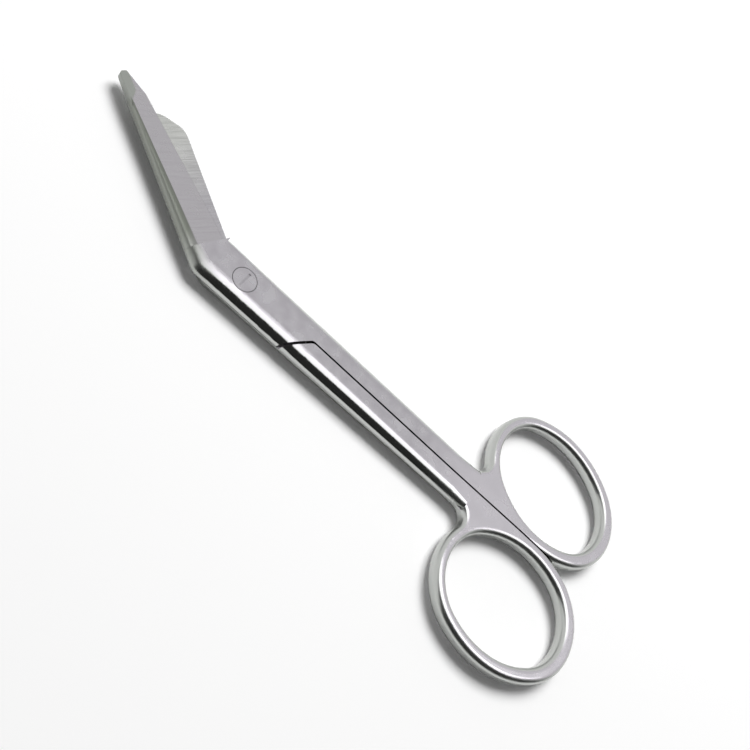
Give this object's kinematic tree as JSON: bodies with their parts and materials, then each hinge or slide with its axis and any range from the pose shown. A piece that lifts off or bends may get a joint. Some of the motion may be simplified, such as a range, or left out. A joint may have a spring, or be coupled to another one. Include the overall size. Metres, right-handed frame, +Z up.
{
  "type": "bandage scissors",
  "caption": "Angled steel bandage scissors: oval finger rings, lap joint on a flush pivot screw, long blade with a blunt probe nose and a shorter round-ended blade.",
  "frame": {"origin": "under the middle of the closed scissors' box, on the surface they lie on", "axes": "+X along the shanks towards the blades, +Z up out of the surface, the blades bend towards -Y"},
  "size_m": [0.1408, 0.0594, 0.0046],
  "materials": {
    "satin_steel": "satin ground flats, polished rounded edges",
    "screw_steel": "filed flush and satin polished"
  },
  "bodies": {
    "short_half": {"short_blade_half": "satin_steel", "pivot_screw": "screw_steel"},
    "probe_half": {"probe_blade_half": "satin_steel"}
  },
  "joints": [
    {"name": "pivot", "type": "hinge", "parent": "short_half", "child": "probe_half", "pos_m": [0.02731, 0, 0.0023], "axis": [0, 0, 1], "range_deg": [0, 110]}
  ]
}
